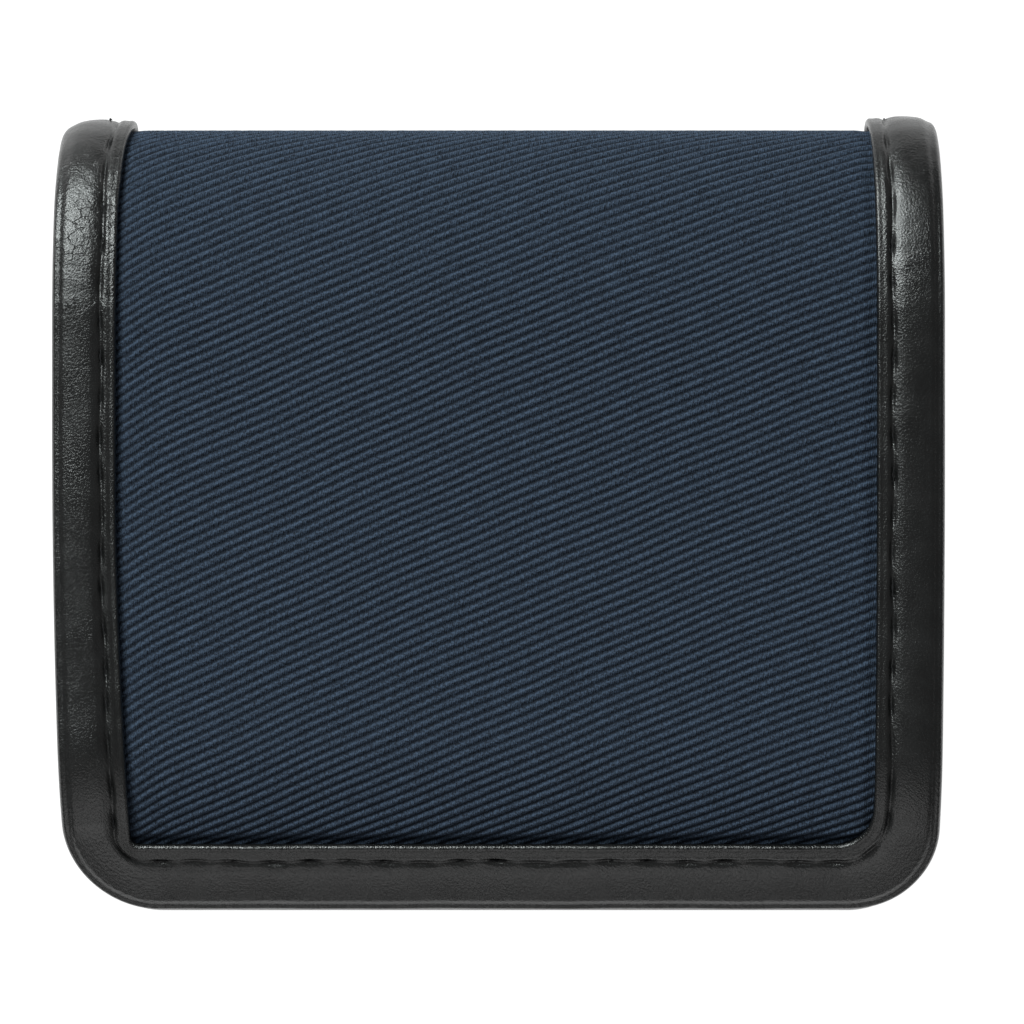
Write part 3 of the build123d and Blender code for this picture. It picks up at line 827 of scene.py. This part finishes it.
def make_seamed_pocket(node, body, material, thread, size, facing=1):
    """A flat pocket: a leather piece over a seam on three sides, open towards the fold."""
    seam, depth, thickness = size
    x_range, y_range, z_range = spans(node)
    outer, base = z_range[::-facing]
    under = outer - facing * thickness
    front = slab([rectangle(x_range, y_range, SLOT_CORNER, POCKET_MOUTH)], edge_profile(*sorted((outer, under))))
    (x0, x1), (y0, y1) = x_range, y_range
    left, right, bottom, mouth = x0 + EDGE_BACK, x1 - EDGE_BACK, y0 + EDGE_BACK, y1 - EDGE_BACK
    shape = [(left, mouth, 0.3), (left, bottom, EDGE_CORNER), (right, bottom, EDGE_CORNER), (right, mouth, 0.3),
             (x1 - seam, mouth, 0.3), (x1 - seam, y1 - depth, 1.0), (x0 + seam, y1 - depth, 1.0),
             (x0 + seam, mouth, 0.3)]
    lower, upper = sorted((base, under))
    edge = slab([shape], [(0.12, lower), (0.0, lower + 0.1), (0.0, upper - 0.02)])
    place_flat([front, edge], material, node, body)
    seam_thread(f"stitching_{node}", [seam_line(x_range, y_range)], outer, facing, body, thread)


def make_card_pockets(material, thread):
    """Three stepped card slots and a small pocket on the coin pocket's panel."""
    for number in (1, 2, 3):
        make_seamed_pocket(f"card_slot_{number}", "back_half", material, thread, CARD_SLOT)
    make_seamed_pocket("small_pocket", "back_half", material, thread, SMALL_POCKET)


def make_passport_pocket(material, thread):
    """Gusset, panel and ticket sleeve of the passport pocket in the front cover."""
    x_range, y_range, (face, inner) = spans("passport_pocket_panel")
    corners = rectangle(x_range, y_range, POCKET_CORNER, 0.2)
    gusset = wall(corners, pleat(*PASSPORT_PLEAT), lambda y: np.full_like(y, inner),
                  lambda y: inner_height(FRONT_FLAT_S, S_END, y), False)
    place_flat([gusset], material, "passport_pocket_gusset", "front_half")

    half, depth = THUMB_NOTCH
    mouth = y_range[1]
    shape = rectangle(x_range, y_range, POCKET_CORNER, POCKET_MOUTH)
    shape += [(half, mouth, NOTCH_MOUTH), (half, mouth - depth, depth - NOTCH_SPARE),
              (-half, mouth - depth, depth - NOTCH_SPARE), (-half, mouth, NOTCH_MOUTH)]
    panel = slab([shape], edge_profile(face, inner))
    place_flat([panel], material, "passport_pocket_panel", "front_half")
    seam_thread("stitching_passport_pocket", [seam_line(x_range, y_range)], face, -1, "front_half", thread)
    make_seamed_pocket("ticket_sleeve", "front_half", material, thread, TICKET_SLEEVE, -1)


# -------- zip and pen loop


def make_zip_tapes(material):
    """Woven tapes under the zip's teeth, with fine cross ribs."""
    for node in ("zip_tape_lower", "zip_tape_upper"):
        (x0, x1), (y0, y1), (z0, z1) = spans(node)
        x = np.arange(x0, x1 + 0.01, TAPE_RIB / 4)
        y = np.linspace(y0 + 0.04, y1 - 0.04, 15)
        rib = 0.5 + 0.5 * np.cos(2 * pi * x[:, None] / TAPE_RIB + 1.2 * np.abs(y - (y0 + y1) / 2)[None])
        top = z1 - 0.03 - 0.1 * (1 - rib)
        z = np.concatenate([top, np.full_like(top, z0 + 0.05)], 1)
        y = np.concatenate([y, y[::-1]])
        points = np.stack(np.broadcast_arrays(x[:, None], y[None], z), -1).reshape(-1, 3)
        faces = capped(points, grid_faces(*z.shape, close_columns=True), z.shape[1])
        place_flat([(points, faces)], material, node, "back_half")


def make_pen_loop(material, thread):
    """Ribbed elastic loop, closed over a sewn foot in the gutter of the fold."""
    low, high = zip(*spans("pen_loop"))
    foot_top = low[2] + LOOP_FOOT
    outer = (high[2] - foot_top) / 2
    middle_y, middle_z = (low[1] + high[1]) / 2, high[2] - outer
    half = (high[0] - low[0]) / 2
    x = np.linspace(-half, half, 161)
    relief = 0.12 * (1 - np.abs(np.cos(pi * x / LOOP_RIB)))
    radius = np.concatenate([outer - relief, (outer - LOOP_WALL + 0.5 * relief)[::-1]])
    x = np.concatenate([x, x[::-1]])
    angle = np.linspace(0, 2 * pi, 72, endpoint=False)
    tube = np.stack(np.broadcast_arrays(x[:, None], middle_y + radius[:, None] * np.cos(angle),
                                        middle_z + radius[:, None] * np.sin(angle)), -1).reshape(-1, 3)
    tube_faces = grid_faces(len(x), len(angle), close_rows=True, close_columns=True)[:, ::-1].tolist()
    foot = slab([rectangle((-half, half), (low[1], high[1]), 1.0)], edge_profile(low[2], foot_top))
    obj = place_flat([(tube, tube_faces), foot], material, "pen_loop", "back_half")
    lines = [[(-half + 1, y), (half - 1, y)] for y in (low[1] + SEAM_INSET, high[1] - SEAM_INSET)]
    seam_thread("stitching_pen_loop", lines, foot_top, 1, "back_half", thread)


def finish_zip_metal(material):
    """Softens the edges of the zip's metal pieces, which keep their places and meshes."""
    for node in ("zip_teeth_lower", "zip_teeth_upper", "zip_end_stops", "zip_slider", "zip_puller"):
        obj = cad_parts[node]
        obj.data.materials.clear()
        obj.data.materials.append(material)
        bevel = obj.modifiers.new("soft edges", "BEVEL")
        bevel.width, bevel.segments = METAL_EDGE * MM, 3
        bevel.limit_method, bevel.angle_limit = "ANGLE", radians(40)
        bevel.harden_normals = True


# -------- materials


class Finish:
    """A material in the making, with short calls for its texture nodes."""

    def __init__(self, name, **sockets):
        self.material = bpy.data.materials.new(name)
        self.material.use_nodes = True
        self.tree = self.material.node_tree
        self.shader = self.tree.nodes["Principled BSDF"]
        for socket, value in sockets.items():
            self.shader.inputs[socket.replace("_", " ")].default_value = value
        uv = self.tree.nodes.new("ShaderNodeUVMap")
        uv.uv_map = "place"
        self.place = uv.outputs["UV"]

    def feed(self, socket, value):
        if isinstance(value, bpy.types.NodeSocket):
            self.tree.links.new(value, socket)
        else:
            socket.default_value = value

    def node(self, kind, **inputs):
        """A new node of this kind, with a value or a link for each of these inputs."""
        node = self.tree.nodes.new("ShaderNode" + kind)
        for name, value in inputs.items():
            self.feed(node.inputs[name.replace("_", " ")], value)
        return node

    def stretched(self, scale, place=None):
        """The place scaled on its axes."""
        return self.node("Mapping", Vector=place or self.place, Scale=scale).outputs["Vector"]

    def noise(self, scale, detail=2.0, roughness=0.5, place=None):
        return self.node("TexNoise", Vector=place or self.place, Scale=scale, Detail=detail,
                         Roughness=roughness).outputs["Fac"]

    def cells(self, scale, feature="F1", place=None):
        node = self.node("TexVoronoi", Vector=place or self.place, Scale=scale)
        node.feature = feature
        return node.outputs["Distance"]

    def calc(self, operation, *values):
        return self.vectors(operation, *values, kind="Math")[0]

    def times(self, a, b, plus=0.0):
        return self.calc("MULTIPLY_ADD", a, b, plus)

    def wave(self, value, pitch):
        return self.calc("SINE", self.times(value, 2 * pi / pitch))

    def parts(self):
        return self.node("SeparateXYZ", Vector=self.place).outputs

    def vectors(self, operation, *values, kind="VectorMath"):
        """The outputs of a sum over vectors. An empty value leaves an input as it is."""
        node = self.tree.nodes.new("ShaderNode" + kind)
        node.operation = operation
        for socket, value in zip(node.inputs, values):
            if value is not None:
                self.feed(socket, value)
        return node.outputs

    def limits(self, value, low, high, to_low=0.0, to_high=1.0):
        """A value moved from one range to another and kept inside it."""
        return self.node("MapRange", Value=value, From_Min=low, From_Max=high, To_Min=to_low,
                         To_Max=to_high).outputs["Result"]

    def colour(self, share, low, high):
        """A colour between two, by a share from 0 to 1."""
        node = self.tree.nodes.new("ShaderNodeMix")
        node.data_type = "RGBA"
        for name, value in (("Factor", share), ("A", (*low, 1)), ("B", (*high, 1))):
            self.feed(node.inputs[name], value)
        return node.outputs["Result"]

    def bump(self, height, depth, normal=None):
        """Bump of this depth, in millimetres, for a height from 0 to 1."""
        below = {} if normal is None else {"Normal": normal}
        return self.node("Bump", Distance=depth * MM, Height=height, **below).outputs["Normal"]

    def done(self, colour, roughness, normal):
        for socket, value in (("Base Color", colour), ("Roughness", roughness), ("Normal", normal)):
            self.feed(self.shader.inputs[socket], value)
        return self.material


def leather(name, dark, light, rough=(0.2, 0.34), creased=None, specular=0.68, grain=0.046):
    """Grained leather: fine pebbles, pores and uneven shine. creased is a stretch along it that has cracks."""
    f = Finish(name, Specular_IOR_Level=specular)
    pebbles = f.cells(3.1)
    pores = f.noise(7.0, 2.0, 0.6)
    clouds = f.noise(0.16, 3.0, 0.55)
    tint = f.times(clouds, 0.7, f.times(pores, 0.45))
    colour = f.colour(f.limits(tint, 0.35, 0.75), dark, light)
    roughness = f.limits(f.times(pores, 0.8, clouds), 0.6, 1.2, *rough)
    normal = f.bump(pores, grain * 0.9, f.bump(pebbles, grain))
    if creased:
        along = f.parts()[1]
        near = f.times(f.limits(along, creased[0], creased[0] + 6),
                      f.limits(along, creased[1], creased[1] - 6))
        bent = f.vectors("ADD", f.place, f.noise(1.1, 2.0))[0]
        net = f.limits(f.cells(0.5, "DISTANCE_TO_EDGE", bent), 0.0, 0.045)
        patchy = f.times(near, f.limits(clouds, 0.42, 0.6))
        normal = f.bump(f.times(net, patchy), 0.07, normal)
    return f.done(colour, roughness, normal)


def twill(name):
    """Navy ribbed twill: yarns that cross each rib, uneven dye, painted shade in the grooves between the ribs
    and a dull bloom at grazing angles.
    """
    f = Finish(name, Specular_IOR_Level=0.2, Sheen_Weight=0.07, Sheen_Roughness=0.4,
               Sheen_Tint=(0.55, 0.7, 0.9, 1))
    run, ribs, _ = f.parts()
    turns = f.calc("DIVIDE", ribs, RIB_PITCH)
    ragged = f.times(f.noise(1.9, 2.0, 0.6), 0.5, turns)
    crest = f.times(f.calc("COSINE", f.times(ragged, 2 * pi, -0.5 * pi)), 0.5, 0.5)
    # painted shade: the colour is darker in the grooves between the ribs and lighter on their crests
    painted_groove_shade = f.limits(crest, 0.0, 0.55, 0.2, 1.0)
    own = f.tree.nodes.new("ShaderNodeTexWhiteNoise")
    own.noise_dimensions = "1D"
    f.feed(own.inputs["W"], f.calc("ROUND", turns))
    lean = f.times(ribs, 0.6, run)
    phase = f.times(lean, 2 * pi / 0.42, f.times(own.outputs["Value"], 2 * pi))
    yarn = f.times(f.calc("SINE", f.times(f.noise(0.9, 2.0), 2.5, phase)), 0.5, 0.5)
    fuzz = f.noise(2.5, 3.0, 0.65)
    slubs = f.noise(1.0, 2.0, 0.5, f.stretched((0.3, 1.6, 1)))
    mixed = f.times(yarn, 0.15, f.times(f.limits(fuzz, 0.38, 0.62), 0.7))
    mixed = f.times(f.limits(slubs, 0.3, 0.7), 0.25, mixed)
    share = f.times(mixed, painted_groove_shade)
    colour = f.colour(share, (0.0030, 0.0046, 0.0084), (0.057, 0.085, 0.132))
    normal = f.bump(fuzz, 0.15, f.bump(yarn, 0.06))
    return f.done(colour, f.limits(fuzz, 0.3, 0.7, 0.75, 0.95), normal)


def plain_weave(name, dark, light, pitch=0.55, sheen=0.15):
    """A plain woven cloth with threads both ways."""
    f = Finish(name, Specular_IOR_Level=0.25, Sheen_Weight=sheen, Sheen_Roughness=0.4)
    x, s, _ = f.parts()
    weave = f.times(f.times(f.wave(x, pitch), f.wave(s, pitch)), 0.5, 0.5)
    fuzz = f.noise(2.6, 3.0, 0.6)
    colour = f.colour(f.limits(f.times(weave, 0.4, fuzz), 0.3, 1.0), dark, light)
    normal = f.bump(fuzz, 0.05, f.bump(weave, 0.08))
    return f.done(colour, f.limits(fuzz, 0.3, 0.7, 0.7, 0.9), normal)


def thread_finish(name):
    """Waxed black thread."""
    f = Finish(name, Specular_IOR_Level=0.25)
    fibres = f.noise(5.0, 3.0, 0.6)
    return f.done(f.colour(fibres, (0.004, 0.004, 0.005), (0.016, 0.016, 0.017)),
                  f.limits(fibres, 0.3, 0.7, 0.5, 0.75), f.bump(fibres, 0.05))


def board_finish(name):
    """Grey fibre board."""
    f = Finish(name, Specular_IOR_Level=0.2)
    fibres = f.noise(1.5, 4.0, 0.6, f.stretched((1.0, 0.25, 1)))
    return f.done(f.colour(fibres, (0.10, 0.095, 0.085), (0.22, 0.21, 0.19)), 0.85, f.bump(fibres, 0.05))


def elastic_finish(name):
    """Black ribbed elastic."""
    f = Finish(name, Specular_IOR_Level=0.25, Sheen_Weight=0.1, Sheen_Roughness=0.4)
    fuzz = f.noise(3.4, 3.0, 0.6)
    knit = f.wave(f.parts()[1], 0.5)
    mixed = f.times(knit, 0.2, fuzz)
    return f.done(f.colour(f.limits(mixed, 0.2, 0.9), (0.004, 0.004, 0.005), (0.022, 0.022, 0.025)),
                  f.limits(fuzz, 0.3, 0.7, 0.65, 0.85), f.bump(mixed, 0.05))


def metal_finish(name):
    """Brushed nickel with small scratches and dull patches."""
    f = Finish(name, Metallic=1.0)
    place = f.vectors("SCALE", f.node("TexCoord").outputs["Object"], None, None, 1 / MM)["Vector"]
    lines = f.noise(1.2, 3.0, 0.6, f.stretched((0.6, 9.0, 9.0), place))
    dull = f.noise(0.7, 2.0, 0.5, place)
    return f.done(f.colour(dull, (0.20, 0.20, 0.205), (0.36, 0.36, 0.37)),
                  f.limits(f.times(lines, 0.6, dull), 0.5, 1.1, 0.24, 0.46), f.bump(lines, 0.015))


# -------- studio


def make_camera():
    """The camera that looks down on the front cover."""
    camera = add_object("camera", bpy.data.cameras.new("camera"))
    camera.location = (*CAMERA_SHIFT, FRAME_HIGH.z + CAMERA_ABOVE)
    camera.data.sensor_width = SENSOR
    camera.data.lens = SENSOR * CAMERA_ABOVE / VIEW_WIDTH
    camera.data.clip_start, camera.data.clip_end = 0.01, 50.0
    bpy.context.scene.camera = camera


def make_floor():
    """A white floor that glows near the organizer, so it holds no shadow there."""
    mesh = bpy.data.meshes.new("floor")
    corners = [(x * FLOOR_REACH, y * FLOOR_REACH, FLOOR_HEIGHT) for x, y in ((-1, -1), (1, -1), (1, 1), (-1, 1))]
    mesh.from_pydata(corners, [], [(0, 1, 2, 3)])
    floor = add_object("floor", mesh)
    f = Finish("floor", Base_Color=(0.12, 0.12, 0.12, 1), Roughness=0.9, Emission_Color=(1, 1, 1, 1))
    away = f.vectors("LENGTH", f.node("TexCoord").outputs["Object"])["Value"]
    f.feed(f.shader.inputs["Emission Strength"], f.limits(away, *FLOOR_GLOW))
    mesh.materials.append(f.material)


def add_light(name, towards, size, watts, tint=(1, 1, 1)):
    """A softbox that faces the organizer from a direction and distance."""
    light = bpy.data.lights.new(name, "AREA")
    light.shape = "RECTANGLE"
    light.size, light.size_y = size
    light.energy, light.color = watts, tint
    obj = add_object(name, light)
    obj.location = towards
    obj.rotation_mode = "QUATERNION"
    obj.rotation_quaternion = Vector(towards).to_track_quat("Z", "Y")


def make_studio():
    """Even white surroundings, a softbox behind the fold and a weaker one before the free edge."""
    world = bpy.data.worlds.new("studio")
    world.use_nodes = True
    backdrop = world.node_tree.nodes["Background"].inputs
    backdrop["Color"].default_value = (1, 1, 1, 1)
    backdrop["Strength"].default_value = WORLD_STRENGTH
    bpy.context.scene.world = world
    bpy.context.scene.view_settings.view_transform = "Standard"
    add_light("softbox", *SOFTBOX)
    add_light("fill", *FILL)


# -------- the organizer

make_camera()
make_floor()
make_studio()

BLACK_LEATHER = leather("binding_leather", (0.0022, 0.0024, 0.0024), (0.0065, 0.0068, 0.0068),
                        creased=(length_at(135) - GROOVE_S[0], FRONT_FLAT_S + 4 - GROOVE_S[0]))
NAVY_TWILL = twill("outer_fabric")
LINING_CLOTH = plain_weave("lining_fabric", (0.012, 0.013, 0.016), (0.030, 0.032, 0.038))
THREAD_FINISH = thread_finish("sewing_thread")
BOARD_FINISH = board_finish("board")
POCKET_LEATHER = leather("pocket_leather", (0.0030, 0.0031, 0.0033), (0.0085, 0.0087, 0.009),
                         rough=(0.34, 0.5), specular=0.5, grain=0.035)
ZIP_TAPE = plain_weave("zip_tape", (0.004, 0.004, 0.005), (0.020, 0.020, 0.023), 0.5, 0.1)
ELASTIC = elastic_finish("elastic")
ZIP_METAL = metal_finish("zip_metal")

make_cloth(NAVY_TWILL)
make_lining(LINING_CLOTH)
make_board("back", BOARD_SHORT, FOLD_S - BACK_BOARD_SHORT, BOARD_FINISH)
make_board("front", FRONT_FLAT_S - FRONT_BOARD_OVER, S_END - BOARD_SHORT, BOARD_FINISH)
make_binding(BLACK_LEATHER)
make_binding_thread(THREAD_FINISH)
make_coin_pocket(POCKET_LEATHER, THREAD_FINISH)
make_card_pockets(POCKET_LEATHER, THREAD_FINISH)
make_passport_pocket(POCKET_LEATHER, THREAD_FINISH)
make_zip_tapes(ZIP_TAPE)
make_pen_loop(ELASTIC, THREAD_FINISH)
finish_zip_metal(ZIP_METAL)
